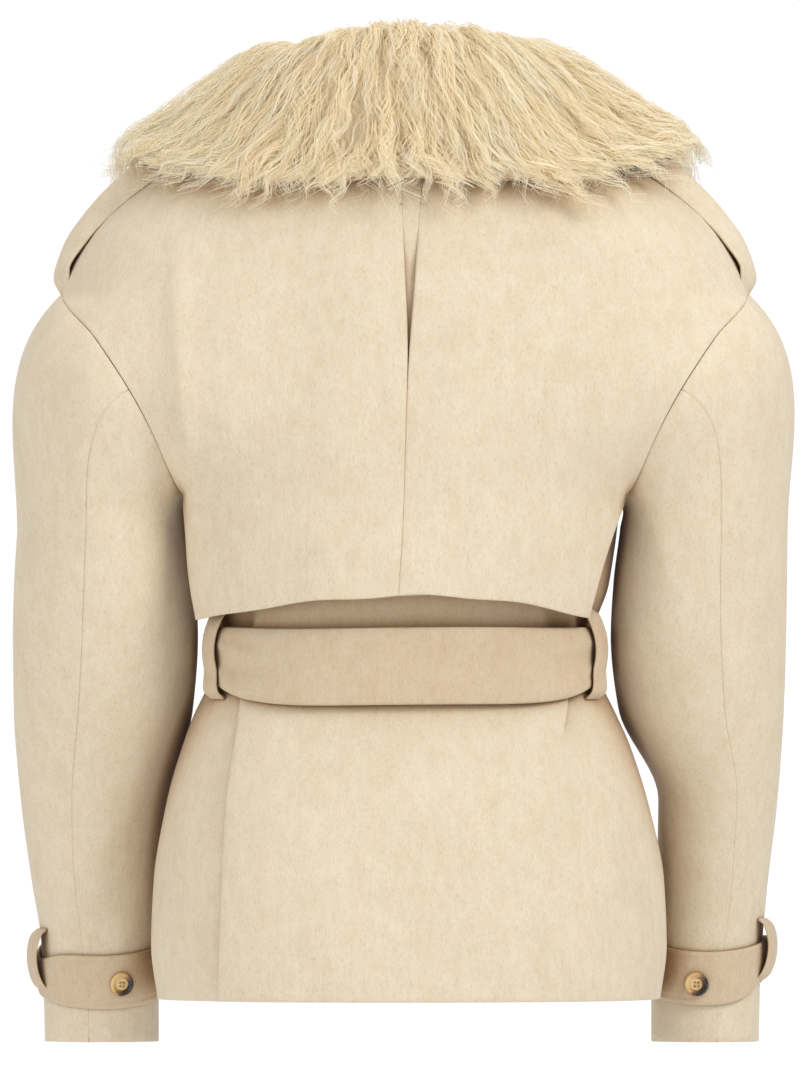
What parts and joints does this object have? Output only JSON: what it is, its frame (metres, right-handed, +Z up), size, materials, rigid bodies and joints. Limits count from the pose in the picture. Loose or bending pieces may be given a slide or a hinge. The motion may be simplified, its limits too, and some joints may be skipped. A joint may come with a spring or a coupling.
{
  "type": "cropped wool trench coat with fur collar",
  "caption": "Cropped wool trench coat, filled out as worn, with fur collar, storm flap, shoulder straps, belt and strapped cuffs, open at neck, hem and cuffs.",
  "frame": {"origin": "middle of the neck opening, level with the points where the shoulders meet the collar", "axes": "+Z up, the fronts face +Y and the back faces -Y, +X to the wearer's right"},
  "size_m": [0.5921, 0.3033, 0.7809],
  "materials": {
    "wool": "brushed double-faced wool, cream with fine grey-brown flecks",
    "fur": "long wavy lamb fur, warm straw cream",
    "horn": "polished horn, honey with a dark patch"
  },
  "bodies": {
    "root": {"back": "wool", "front_left": "wool", "front_right": "wool", "storm_flap": "wool", "sleeve_upper_left": "wool", "sleeve_under_left": "wool", "sleeve_upper_right": "wool", "sleeve_under_right": "wool", "shoulder_strap_left": "wool", "shoulder_strap_right": "wool", "under_collar": "wool", "fur_collar": "fur", "belt": "wool", "belt_loop_left": "wool", "belt_loop_right": "wool", "cuff_strap_left": "wool", "cuff_strap_right": "wool", "cuff_loop_left": "wool", "cuff_loop_right": "wool", "cuff_button_left": "horn", "cuff_button_right": "horn"}
  },
  "joints": []
}
